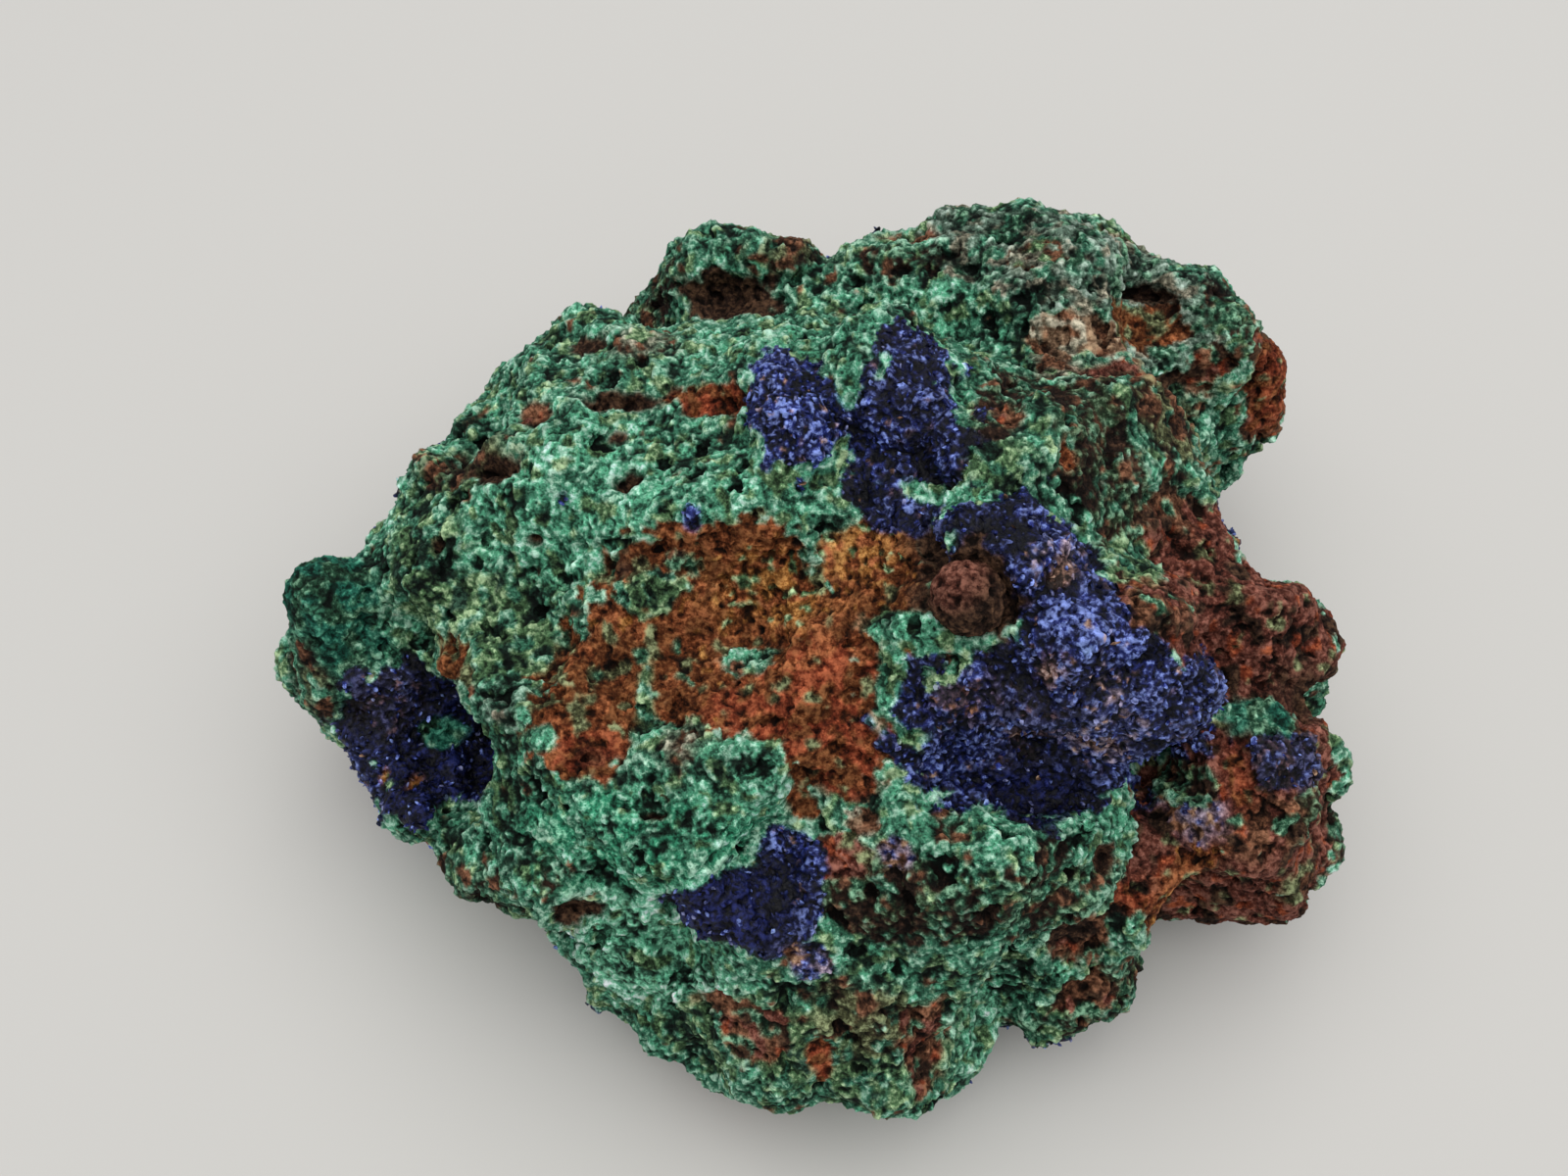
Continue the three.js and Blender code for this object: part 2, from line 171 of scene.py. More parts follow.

# Patches that the camera sees, in the order in which they cover each other: what it is, tone, middle and half
# sizes in pixels, and turn in degrees if it has one. The dark patches in pits, holes and hollows are darker
# stone deepened with painted shade; those in crevices and under ledges and overhangs are painted shade.
SEEN_PATCHES = [
    ("top of the shoulder", "mint", (570, 510), (115, 95)),
    ("shoulder's left side", "moss", (432, 560), (36, 85), 8),
    ("streaked side under the shoulder", "moss", (485, 630), (100, 52)),
    ("left knob", "teal", (332, 645), (52, 85)),
    ("olive side of the left knob", "olive", (320, 690), (16, 40), -12),
    ("brown edge of the left knob", "dark umber", (290, 660), (8, 44), -5),
    ("ledge behind the shoulder", "sea green", (598, 368), (70, 34), -15),
    ("crest", "sea green", (735, 240), (60, 34)),
    ("foot of the crest", "deep green", (660, 310), (50, 32), -40),
    ("mint ridge under the crest", "mint", (735, 348), (115, 24)),
    ("grey end of the ridge", "ashen", (650, 350), (36, 14)),
    ("band behind the twins", "sea green", (890, 300), (95, 42)),
    ("top of the back dome", "grey green", (1050, 250), (120, 60), 8),
    ("ashen top of the dome", "ashen", (1165, 258), (45, 24), 35),
    ("ashen spot on the dome", "ashen", (1062, 262), (34, 20)),
    ("side of the dome", "grey green", (1160, 320), (110, 70), 10),
    ("dark band behind the twins", "deep green", (908, 262), (52, 18)),
    ("bright band behind the twins", "mint", (965, 306), (46, 20), 8),
    ("pale ledge of the dome", "ashen", (1078, 368), (24, 30), 10),
    ("green rim at the back right", "deep green", (1262, 325), (50, 26), 40),
    ("flank beside the twins", "dark moss", (1055, 435), (88, 72)),
    ("streaked flank", "sea green", (1060, 475), (30, 70)),
    ("dark middle of the flank", "dark moss", (1125, 470), (52, 90)),
    ("olive flank", "olive", (1205, 435), (80, 62)),
    ("shelf over the rust", "mint", (770, 500), (95, 42), -28),
    ("front left bulge", "jade", (640, 860), (185, 62), -8),
    ("left end of the bulge", "sea green", (500, 870), (62, 62), 35),
    ("dark side of the bulge", "deep green", (500, 935), (78, 32), 35),
    ("dark fold in the bulge", "deep green", (563, 888), (20, 26)),
    ("tongue under the bulge", "pale mint", (660, 985), (95, 80), 20),
    ("mint under the boss", "mint", (1080, 850), (140, 40)),
    ("mint left of the boss", "mint", (925, 795), (48, 34), 30),
    ("green ridge right of the boss", "mint", (1246, 764), (22, 54), 12),
    ("dark slope of the front", "deep green", (1000, 935), (170, 62), -5),
    ("green slope of the front", "sea green", (960, 985), (120, 34), -8),
    ("foot of the front", "moss", (860, 1070), (170, 60)),
    ("olive middle of the foot", "olive", (880, 1040), (60, 42)),
    ("mint strip at the foot", "pale mint", (1000, 1058), (26, 50), 12),
    ("green foot on the right", "deep green", (1150, 1000), (40, 40)),
    ("rust band", "rust", (740, 640), (175, 95), -5),
    ("rust west", "brown rust", (612, 716), (98, 76), -10),
    ("rust south", "red rust", (830, 730), (95, 82), 10),
    ("rust beside the neck", "rust", (880, 590), (62, 62)),
    ("yellow rust", "yellow rust", (785, 605), (62, 34), -15),
    ("yellow rust beside the crevice", "yellow rust", (870, 560), (40, 26)),
    ("brown rust in the west", "brown rust", (600, 668), (56, 34)),
    ("bright rust round the pit", "red rust", (595, 766), (50, 30)),
    ("pit in the rust", "dark umber", (604, 774), (15, 9)),
    ("rust behind the shelf", "red rust", (728, 408), (48, 22)),
    ("rust under the mint", "brown rust", (655, 585), (56, 30), -10),
    ("green crumbs under the mint", "moss", (660, 603), (34, 24)),
    ("green spot over the rust", "deep green", (690, 574), (11, 9)),
    ("hole under the mint", "dark umber", (632, 580), (13, 10)),
    # Painted shade in a pocket at the back
    ("back pocket", "dark umber", (747, 300), (55, 24)),
    # Painted shadow under the ledge, in the groove behind the shoulder
    ("groove behind the shoulder", "dark umber", (625, 406), (44, 11), 5),
    ("red side of the groove", "umber", (546, 421), (18, 12)),
    ("olive beside the crest", "olive", (808, 262), (50, 15)),
    ("olive round the left pit", "olive", (484, 466), (60, 22), -8),
    # Painted shade in a hollow at the back left
    ("pit on the left", "dark umber", (497, 477), (48, 17), -5),
    ("brown crumbs on the ledge", "dark umber", (600, 350), (26, 12)),
    ("pit in the shoulder", "dark umber", (640, 492), (17, 12)),
    ("small pit in the shoulder", "dark umber", (545, 554), (11, 7)),
    ("pit at the left edge", "dark umber", (441, 553), (9, 12)),
    ("dimple in the shoulder", "dark umber", (634, 446), (12, 7)),
    ("dark dimple in the shoulder", "shaded navy", (577, 507), (7, 11)),
    ("fawn on the dome", "fawn", (1105, 342), (56, 24)),
    ("brown on the dome", "brown rust", (1164, 334), (50, 30)),
    ("dark band on the dome", "maroon", (1130, 374), (36, 12)),
    ("dark hollow of the dome", "dark umber", (1168, 298), (40, 12), 5),
    ("brown top of the band", "umber", (925, 240), (34, 11)),
    ("dark brown of the dome", "dark umber", (1195, 388), (32, 12)),
    ("recess beside the twins", "umber", (1028, 422), (16, 16)),
    ("red recess in the flank", "red rust", (1092, 466), (9, 19), -10),
    ("rust tip at the back right", "umber", (1296, 395), (46, 62)),
    ("rusty middle of the tip", "red rust", (1292, 395), (26, 42)),
    ("brown beside the rust tip", "umber", (1235, 372), (30, 24)),
    ("brown column", "umber", (1205, 530), (42, 40)),
    ("right spur", "maroon", (1265, 655), (160, 85), 18),
    ("end of the spur", "maroon", (1325, 635), (82, 84)),
    ("back of the spur", "maroon", (1285, 588), (90, 26), 12),
    ("edge over the spur", "maroon", (1250, 548), (28, 46)),
    ("edge of the spur", "maroon", (1350, 652), (28, 60)),
    # Painted shade under the spur
    ("under the spur", "dark umber", (1335, 705), (40, 26)),
    ("red side of the spur", "red rust", (1160, 615), (34, 28)),
    ("green in the side of the spur", "moss", (1158, 575), (26, 26), 10),
    ("brown of the spur", "umber", (1190, 625), (52, 34)),
    ("front right knob", "maroon", (1295, 885), (130, 160)),
    ("green in the knob", "dark moss", (1335, 835), (16, 34), 20),
    ("olive foot of the knob", "olive", (1328, 902), (26, 18), -30),
    ("brown of the front right knob", "umber", (1290, 850), (48, 36), -20),
    ("orange edge of the knob", "rust", (1203, 905), (22, 62), 35),
    ("right lip", "umber", (1110, 1024), (38, 30), -25),
    ("green edge under the lip", "deep green", (1072, 1056), (44, 18)),
    ("recess in the slope", "dark umber", (1130, 876), (17, 17)),
    ("red spot in the slope", "red rust", (1157, 918), (19, 11), 20),
    ("rust crumbs above the lip", "umber", (1100, 965), (34, 28)),
    ("brown at the foot", "umber", (948, 1062), (28, 56)),
    ("brown foot on the left", "umber", (768, 1062), (36, 36)),
    ("brown crumbs on the left foot", "umber", (728, 1024), (22, 12), 10),
    ("rust at the foot", "red rust", (836, 1082), (14, 30)),
    # Painted shade in a small pocket in the tongue
    ("pit in the tongue", "dark umber", (590, 935), (27, 19), 10),
    ("hole in the shelf", "dark umber", (666, 831), (18, 7)),
    ("dark green left of the slope", "dark moss", (890, 910), (56, 50)),
    ("red crumbs under the rust", "red rust", (850, 800), (52, 22), 10),
    ("brown under the rust", "brown rust", (817, 822), (22, 22)),
    ("fawn crumbs under the rust", "fawn", (878, 838), (24, 18)),
    ("green between the crumbs", "sea green", (848, 832), (14, 20)),
    ("crumbs left of the slope", "maroon", (858, 872), (32, 26), 10),
    ("pale crumbs left of the slope", "lavender", (911, 868), (15, 17)),
    # Painted shadow under the ledge of the boss
    ("dark fold under the boss", "deep green", (976, 846), (22, 20)),
    # Painted shade in the crevice under the right twin
    ("hollow under the twin", "dark umber", (945, 560), (20, 42)),
    ("left twin", "royal blue", (812, 420), (52, 68), -10),
    ("right twin", "navy", (930, 430), (68, 88)),
    ("bright side of the right twin", "royal blue", (900, 470), (30, 36)),
    ("foot of the right twin", "navy", (925, 515), (48, 24)),
    ("neck", "navy", (1045, 560), (82, 72), 10),
    ("pale neck", "slate blue", (1070, 578), (28, 34), -20),
    ("dark top of the neck", "shaded navy", (1000, 545), (36, 16)),
    ("boss", "navy", (1075, 735), (172, 92)),
    ("between the neck and the boss", "navy", (1095, 626), (54, 34), 20),
    ("bright left of the boss", "royal blue", (935, 722), (34, 26)),
    ("bright foot of the boss", "royal blue", (972, 775), (36, 24), 20),
    ("slate right of the boss", "slate blue", (1128, 730), (46, 62)),
    ("bright top of the boss", "royal blue", (1078, 652), (38, 20)),
    ("bright shoulder of the boss", "royal blue", (1168, 672), (64, 24), 25),
    ("dull middle of the boss", "dull navy", (1045, 725), (50, 34)),
    ("grey hollow of the boss", "dull navy", (1035, 778), (34, 24)),
    ("underside of the boss", "shaded navy", (1056, 804), (66, 32)),
    ("right end of the boss", "navy", (1215, 715), (42, 48), 30),
    ("left foot", "shaded navy", (440, 752), (88, 84)),
    ("dull middle of the left foot", "dull navy", (395, 720), (34, 36)),
    ("bright left foot", "navy", (374, 792), (26, 30), -20),
    ("front azurite", "navy", (806, 908), (31, 82)),
    ("bright front azurite", "royal blue", (812, 870), (22, 34)),
    ("toe of the front azurite", "shaded navy", (744, 924), (62, 34), -20),
    ("dark middle of the front azurite", "shaded navy", (786, 935), (24, 40)),
    ("foot of the front azurite", "slate blue", (826, 980), (28, 26)),
    ("pinkish foot of the azurite", "lavender", (812, 980), (13, 18)),
    ("blue on the front right knob", "dull navy", (1310, 776), (34, 32)),
    ("blue dot on the shoulder", "royal blue", (706, 527), (9, 11)),
    ("brown on the boss", "bruised navy", (978, 710), (32, 22)),
    # Cream crumbs: pale peach specks on the azurite, partly painted reflections on its crystals
    ("cream crumbs of the neck", "tan", (1078, 583), (12, 13)),
    ("cream crumbs of the boss", "tan", (1074, 682), (8, 10)),
    ("cream crumbs in the middle of the boss", "tan", (1032, 742), (12, 9)),
    ("cream crumbs right of the middle", "tan", (1114, 744), (17, 9), 20),
    # Painted shade in the crevice round the ball
    ("crevice round the ball", "dark umber", (985, 612), (54, 52)),
    ("green between the twin and the neck", "moss", (1024, 476), (32, 24)),
    ("mint between the twins", "mint", (866, 388), (14, 30), -10),
    ("mint under the twins", "mint", (850, 470), (12, 22), 30),
    ("mint beside the neck", "mint", (958, 505), (44, 11), 10),
    ("green strip by the boss", "mint", (945, 645), (58, 17), 8),
    ("green blob by the boss", "mint", (905, 700), (12, 40), 8),
    ("green spot in the rust", "sea green", (760, 668), (32, 15), -8),
    ("green strip in the rust", "moss", (656, 712), (8, 32), 5),
    ("grey crumbs by the left hollow", "grey green", (515, 722), (24, 24)),
    ("mint over the left hollow", "moss", (510, 655), (52, 34)),
    ("grey shelf in the rust", "sea green", (682, 776), (52, 36)),
    ("grey top of the shelf", "ashen", (702, 764), (26, 18)),
    ("green shelf in the rust", "mint", (765, 795), (46, 38), 25),
    ("green in the left hollow", "teal", (453, 744), (23, 15), -10),
    ("rust over the left hollow", "brown rust", (450, 684), (30, 34)),
    ("mint beside the left hollow", "mint", (545, 755), (22, 12), -15),
    ("crumb at the left foot", "yellow rust", (391, 793), (9, 9)),
    ("second crumb at the left foot", "yellow rust", (420, 797), (9, 11)),
    ("green under the spur", "teal", (1282, 728), (44, 20), 5),
    ("green edge of the knob", "deep green", (1372, 838), (20, 66)),
    ("red strip of the knob", "red rust", (1266, 800), (12, 32)),
    ("lavender patch", "lavender", (1226, 830), (27, 22)),
    ("dark recess right of the boss", "deep green", (1212, 798), (28, 18)),
]
PATCH_DEPTH = 2.2  # how far a patch reaches into the rock, against its larger half size
EDGE_NOISE = ((4.5, 1.6), (1.6, 1.4), (0.7, 0.7))  # widths and heights of the wobble of a patch's edge
EDGE_REACH = 3.0  # how far past a patch its edge is looked for
EDGE_WIDTH = 0.2  # how far a mineral fades into the next
TONE_WIDTH = 0.9  # how far a tone fades into the next
FREE_SIZE = 3.5  # the half size from which a patch's edge wanders in full

# How far some of these patches stand out of the rock, or sink into it, in millimetres
RISES = {
    "crevice round the ball": -1.4, "left twin": 0.8, "right twin": 0.8, "boss": 0.5, "neck": 0.5,
    "left knob": 0.3, "back pocket": -1.6, "groove behind the shoulder": -1.0, "pit on the left": -1.3,
    "pit in the shoulder": -1.0, "small pit in the shoulder": -0.8, "pit at the left edge": -0.8,
    "dark hollow of the dome": -1.0, "pit in the tongue": -1.2, "hole in the shelf": -0.9,
    "hollow under the twin": -1.2, "dark recess right of the boss": -0.8, "dark fold under the boss": -0.8,
    "dark fold in the bulge": -0.8, "pit in the rust": -0.9, "recess in the slope": -0.8,
    "underside of the boss": -0.8,
    "rust west": -0.4, "rust band": -0.3, "grey shelf in the rust": 0.8, "green shelf in the rust": 0.6,
    "green strip by the boss": 0.4, "green blob by the boss": 0.4, "shelf over the rust": 0.4,
}

# Swells and dents that finish the outline: what it is, middle and half sizes in pixels, and millimetres
SWELLS = [
    ("top of the left knob", (318, 598), (55, 48), 1.3),
    ("bottom of the left knob", (350, 800), (70, 60), -0.7),
    ("back left edge", (440, 490), (60, 60), -0.8),
    ("edge behind the shoulder", (510, 385), (50, 50), -0.7),
    ("left of the crest", (660, 270), (36, 44), -0.7),
    ("gap beside the crest", (822, 252), (50, 30), 1.0),
    ("top of the dome", (950, 225), (60, 30), -0.7),
    ("back of the dome", (1150, 235), (70, 30), -0.8),
    ("right tip", (1304, 384), (44, 54), 1.5),
    ("under the right tip", (1298, 466), (40, 30), -1.0),
    ("edge behind the spur", (1300, 570), (75, 30), -0.9),
    ("front left edge", (480, 905), (80, 50), 0.8),
    ("left of the tongue", (600, 1010), (50, 50), -0.7),
    ("left of the foot", (700, 1085), (70, 40), -0.9),
    ("foot of the front", (890, 1125), (80, 30), 0.7),
    ("under the right lip", (1050, 1062), (50, 30), -0.8),
    ("right of the knob", (1385, 930), (40, 40), -0.7),
    ("tip of the spur", (1350, 684), (34, 28), 1.0),
    ("notch under the spur", (1340, 722), (30, 20), -1.1),
]

# Patches on the other sides: tone, width of the noise in millimetres, level above which it shows, and place
HIDDEN_PATCHES = [
    ("deep green", 8.0, 0.05, 11.0),
    ("mint", 7.0, 0.12, 23.0),
    ("umber", 11.0, 0.10, 31.0),
    ("maroon", 8.0, 0.25, 47.0),
    ("rust", 9.0, 0.22, 53.0),
    ("navy", 10.0, 0.27, 67.0),
    ("royal blue", 7.0, 0.38, 71.0),
]
HIDE_DEPTH = 9.0  # how strongly the side that the camera sees keeps them off
HIDE_FACING = (-0.4, 0.0)  # how far a face is turned to the camera as that sets in, from -1 to 1

# The rock's surface
SPLITS = 2  # times that every triangle of the solid is split in four, and then evened out
SMOOTH_ROUNDS = 3
LONGEST_EDGE = 0.305  # edges longer than this are halved
LONGEST_UNDER = 1.2  # the same on the face that the rock rests on
CRUST_HEIGHT = {MALACHITE: 0.1, AZURITE: 0.1, LIMONITE: -0.55}  # against the solid's surface
CRUST_BLUR = 1  # rounds that soften a crust's edge
RIM_BLUR = 5  # rounds that say how far a crust's pale rim, a painted highlight, reaches
FLOOR_GAP = 0.02  # the lowest that a blade reaches
FLOOR_FREE = (0.1, 1.5)  # heights between which the relief sets in, above the face that the rock rests on
MOST_TRIANGLES = 190000  # in one piece
ROCK_NAMES = {MALACHITE: "malachite_crust", AZURITE: "azurite_druse", LIMONITE: "limonite_rock"}

# The ball beside the azurite's neck, in millimetres
BALL_PIXEL = (990, 611)
BALL_RADIUS = 2.2
BALL_SINK = 0.6  # how far its middle lies under the solid's surface
BALL_SPLITS = 5
BALL_RELIEF = 0.2  # the share of the rock's lumps that it has
BALL_TOP = (-0.5, 0.3, 0.8)  # the upper side, painted paler and pinkish: partly its own colour and partly painted light from above
BALL_PINK_AND_LIGHT = 0.7  # how strongly

# The azurite's blades, in millimetres; width and length are half sizes
BLADE_SPACING = 0.80
BLADE_WIDTH = (0.11, 0.22)
BLADE_LENGTH = (0.16, 0.32)
BLADE_JITTER = 0.15  # how much its corners stray, against its size
BLADE_LEAN = 0.8  # how far its axis strays from the surface's normal
BLADE_LIFT = 0.1  # how far its middle stands over the surface, against its half length
BLADE_SHADE = 0.25  # how much paler its tip is than its middle, a painted highlight
BLADE_LUCK = 0.40  # how much the blades differ in brightness
BLADE_STRAYS = (("royal blue", 0.25), ("slate blue", 0.10), ("tan", 0.01))  # tones of their own, and shares; the tan ones are partly painted reflections
BLADE_KINDS = 24  # shapes that they repeat
PIT_THINNING = 0.4  # how much thinner they stand in hollows
BARE_DENSITY = 1e-9  # where none grow
TRIES_PER_CELL = 9  # places drawn for each that is kept

# How a material looks: roughness, specular level, width of its grains and depth of their bumps in
# millimetres, and how bright its recesses are painted against its tone, a painted shade
LOOKS = {
    MALACHITE: ("malachite", 0.8, 0.14, 0.38, 0.20, 0.12),
    AZURITE: ("azurite", 0.45, 0.22, 0.32, 0.12, 0.10),
    LIMONITE: ("limonite", 0.85, 0.12, 0.32, 0.14, 0.14),
}
GRAIN_LUCK = (0.8, 1.25)  # how bright its darkest and palest grains are against its tone

# The painted brightness of a crumb by its height: painted shade in its recess at 0, and its tip at 1 paler,
# partly a painted highlight
LUMP_SHADE, CRUMB_SHADE, RIM_SHADE = 0.6, 0.55, 0.4  # what lumps, crumbs and a crust's rim, a painted highlight, add to its height
MIDDLE_SHADE, HEIGHT_SHADE = 0.52, 0.8  # the brightness at height 0, and what it gains by height
CRUMB_LUCK = 0.5  # how much the crumbs differ in brightness

# The floor and the light, in metres, watts and linear colours
FLOOR_SIZE = 1.6
FLOOR_TONE = (0.82, 0.81, 0.79)
SKY_COLOUR = (0.93, 0.96, 1.0, 1)
SKY_STRENGTH = 0.50
WINDOW_PLACE = (0.03, 0.02, 0.48)
WINDOW_SIZE = 0.70
WINDOW_POWER = 2.3
WINDOW_COLOUR = (1.0, 0.99, 0.98)


# ---------------- numbers and noise
def linear(colour):
    """Linear values of an sRGB colour."""
    colour = np.asarray(colour, float)
    return np.where(colour <= 0.04045, colour / 12.92, ((colour + 0.055) / 1.055) ** 2.4)


def smoothstep(low, high, value):
    share = np.clip((value - low) / (high - low), 0, 1)
    return share * share * (3 - 2 * share)


def mix(a, b, share):
    return a + (b - a) * share


def unit(vectors):
    return vectors / np.maximum(np.linalg.norm(vectors, axis=-1, keepdims=True), 1e-12)


SLOPES = unit(np.random.default_rng(7).normal(size=(256, 3)))


def hashed(cubes, salt=0):
    """Scattered whole numbers, always the same for the same cube of a grid."""
    x, y, z = cubes.astype(np.uint32).T
    mixed = x * np.uint32(0x8DA6B343) ^ y * np.uint32(0xD8163841) ^ z * np.uint32(0xCB1AB31F)
    mixed = (mixed ^ np.uint32(salt * 0x9E3779B1 & 0xFFFFFFFF)) * np.uint32(0x85EBCA6B)
    mixed = (mixed ^ mixed >> np.uint32(13)) * np.uint32(0xC2B2AE35)
    return mixed ^ mixed >> np.uint32(16)


def fraction(keys, salt=0):
    """Random numbers from 0 to 1 from whole numbers."""
    mixed = (keys ^ np.uint32(salt * 0x9E3779B1 & 0xFFFFFFFF)) * np.uint32(0x85EBCA6B)
    return ((mixed ^ mixed >> np.uint32(15)) & np.uint32(0xFFFF)) / 0x10000


def ripple(points, width, place=0.0):
    """Soft noise from about -1 to 1, with lumps of that width. Each place has a pattern of its own."""
    scaled = points / width + place
    low = np.floor(scaled).astype(np.int64)
    inside = scaled - low
    fade = inside ** 3 * (inside * (inside * 6 - 15) + 10)
    total = np.zeros(len(points))
    for corner in product((0, 1), repeat=3):
        slope = SLOPES[hashed(low + corner) % len(SLOPES)]
        weight = np.where(corner, fade, 1 - fade).prod(axis=1)
        total += weight * np.einsum("ij,ij->i", slope, inside - corner)
    return total * 1.7


def cells(points, width, place=0.0):
    """Scattered cells, one in each cube of a grid, with sizes in cell widths.

    Gives the distances to the nearest and second nearest middle, the way from the nearest, and its key."""
    scaled = points / width + place
    low = np.floor(scaled).astype(np.int64)
    nearest, second = np.full((2, len(points)), np.inf)
    way, key = np.zeros_like(points), np.zeros(len(points), np.uint32)
    for step in product((-1, 0, 1), repeat=3):
        cube = low + step
        found = hashed(cube)
        away = scaled - cube - np.stack([fraction(found, salt) for salt in (1, 2, 3)], axis=1)
        distance = np.sqrt(np.einsum("ij,ij->i", away, away))
        closer = distance < nearest
        second = np.where(closer, nearest, np.minimum(second, distance))
        nearest = np.where(closer, distance, nearest)
        way[closer], key[closer] = away[closer], found[closer]
    return nearest, second, way, key


def warped(points, width, reach, place):
    """Points pushed about by noise, so that a pattern laid over them loses its regular shapes."""
    return points + reach * np.stack([ripple(points, width, place + axis * 5.3) for axis in range(3)], axis=1)


# ---------------- mesh helpers
def welded_mesh(source):
    """Corners in millimetres and triangles of an object's mesh, with the corners that lie together joined."""
    mesh = source.data
    mesh.calc_loop_triangles()
    points = np.zeros(len(mesh.vertices) * 3)
    mesh.vertices.foreach_get("co", points)
    faces = np.zeros(len(mesh.loop_triangles) * 3, int)
    mesh.loop_triangles.foreach_get("vertices", faces)
    points = points.reshape(-1, 3)
    _, first, index = np.unique(np.round(points / WELD_STEP).astype(np.int64), axis=0,
                                return_index=True, return_inverse=True)
    return points[first] / MM, index.reshape(-1)[faces].reshape(-1, 3)


def edges_of(faces):
    """Each edge's two corners, and the three edges of each face."""
    ends = np.sort(faces[:, [0, 1, 1, 2, 2, 0]].reshape(-1, 2), axis=1)
    count = faces.max() + 1
    keys, index = np.unique(ends[:, 0] * count + ends[:, 1], return_inverse=True)
    return np.stack([keys // count, keys % count], axis=1), index.reshape(-1, 3)


def split_in_four(points, faces):
    edges, index = edges_of(faces)
    a, b, c = faces.T
    ab, bc, ca = (index + len(points)).T
    parts = [(a, ab, ca), (ab, b, bc), (ca, bc, c), (ab, bc, ca)]
    points = np.vstack([points, points[edges].mean(axis=1)])
    return points, np.vstack([np.stack(part, axis=1) for part in parts])


def turned(faces, marks, first):
    """Faces and the marks of their edges, with each face turned so that it starts at a given corner."""
    order = (first[:, None] + np.arange(3)) % 3
    return np.take_along_axis(faces, order, 1), np.take_along_axis(marks, order, 1)


def split_faces(faces, middles):
    """Splits faces whose edges have a new corner in the middle, or -1. Edge 0 joins corners 0 and 1."""
    count = (middles >= 0).sum(axis=1)
    parts = [faces[count == 0]]

    one, middle = turned(faces[count == 1], middles[count == 1], np.argmax(middles[count == 1] >= 0, axis=1))
    (a, b, c), ab = one.T, middle[:, 0]
    parts += [np.stack(part, axis=1) for part in ((a, ab, c), (ab, b, c))]

    two, middle = turned(faces[count == 2], middles[count == 2], np.argmax(middles[count == 2] < 0, axis=1))
    (a, b, c), (_, bc, ca) = two.T, middle.T
    parts += [np.stack(part, axis=1) for part in ((a, b, bc), (a, bc, ca), (ca, bc, c))]

    (a, b, c), (ab, bc, ca) = faces[count == 3].T, middles[count == 3].T
    parts += [np.stack(part, axis=1) for part in ((a, ab, ca), (ab, b, bc), (ca, bc, c), (ab, bc, ca))]
    return np.vstack(parts)


def split_long_edges(points, faces, values):
    """Halves long edges until there are none. The values at the corners, a dictionary, are split as well."""
    while True:
        edges, index = edges_of(faces)
        ends = points[edges]
        longest = np.where(ends[:, :, 2].max(axis=1) < FLOOR_FREE[0], LONGEST_UNDER, LONGEST_EDGE)
        cut = np.linalg.norm(ends[:, 0] - ends[:, 1], axis=1) > longest
        if not cut.any():
            return points, faces, values
        middles = np.full(len(edges), -1)
        middles[cut] = len(points) + np.arange(cut.sum())
        points = np.concatenate([points, points[edges[cut]].mean(axis=1)])
        for key, value in values.items():
            values[key] = np.concatenate([value, value[edges[cut]].mean(axis=1)])
        faces = split_faces(faces, middles[index])


def smoothed(values, edges, rounds, shares=(0.55, -0.57)):
    """Evens values out over the mesh. The second, negative share keeps the whole from shrinking."""
    count = np.bincount(edges.ravel(), minlength=len(values))[:, None]
    for share in [*shares] * rounds:
        total = np.zeros_like(values)
        for axis in range(values.shape[1]):
            total[:, axis] = (np.bincount(edges[:, 0], values[edges[:, 1], axis], len(values))
                              + np.bincount(edges[:, 1], values[edges[:, 0], axis], len(values)))
        values = values + share * (total / count - values)
    return values


def face_crosses(points, faces):
    a, b, c = points[faces].transpose(1, 0, 2)
    return np.cross(b - a, c - a)


def corner_normals(points, faces):
    crosses = face_crosses(points, faces)
    normals = np.stack([
        sum(np.bincount(faces[:, corner], crosses[:, axis], len(points)) for corner in range(3))
        for axis in range(3)
    ], axis=1)
    return unit(normals)


def build_mesh(name, points, faces, values, material, normals=None):
    """A mesh object from corners in millimetres, with values stored at its corners: colours or numbers.

    It is shaded smooth by the normals, or flat without them."""
    mesh = bpy.data.meshes.new(name)
    mesh.vertices.add(len(points))
    mesh.vertices.foreach_set("co", (points * MM).astype(np.float32).ravel())
    mesh.loops.add(faces.size)
    mesh.loops.foreach_set("vertex_index", faces.astype(np.int32).ravel())
    mesh.polygons.add(len(faces))
    mesh.polygons.foreach_set("loop_start", np.arange(0, faces.size, 3, dtype=np.int32))
    mesh.polygons.foreach_set("use_smooth", np.full(len(faces), normals is not None))
    for key, value in values.items():
        if value.ndim == 2:
            data = mesh.attributes.new(key, "FLOAT_COLOR", "POINT").data
            value = np.hstack([value, np.ones((len(value), 1))])
            data.foreach_set("color", value.astype(np.float32).ravel())
        else:
            mesh.attributes.new(key, "FLOAT", "POINT").data.foreach_set("value", value.astype(np.float32))
    mesh.update(calc_edges=True)
    mesh.validate()
    if normals is not None:
        mesh.normals_split_custom_set_from_vertices(normals.tolist())
    mesh.materials.append(material)
    piece = bpy.data.objects.new(name, mesh)
    bpy.context.scene.collection.objects.link(piece)
    return piece


# ---------------- materials
def node(tree, kind, inputs=(), **settings):
    """Adds a node. inputs holds pairs of a socket's name or number and its value, or the socket to link."""
    made = tree.nodes.new(kind)
    for name, value in settings.items():
        setattr(made, name, value)
    for key, value in inputs:
        if isinstance(value, bpy.types.NodeSocket):
            tree.links.new(value, made.inputs[key])
        else:
            made.inputs[key].default_value = value
    return made


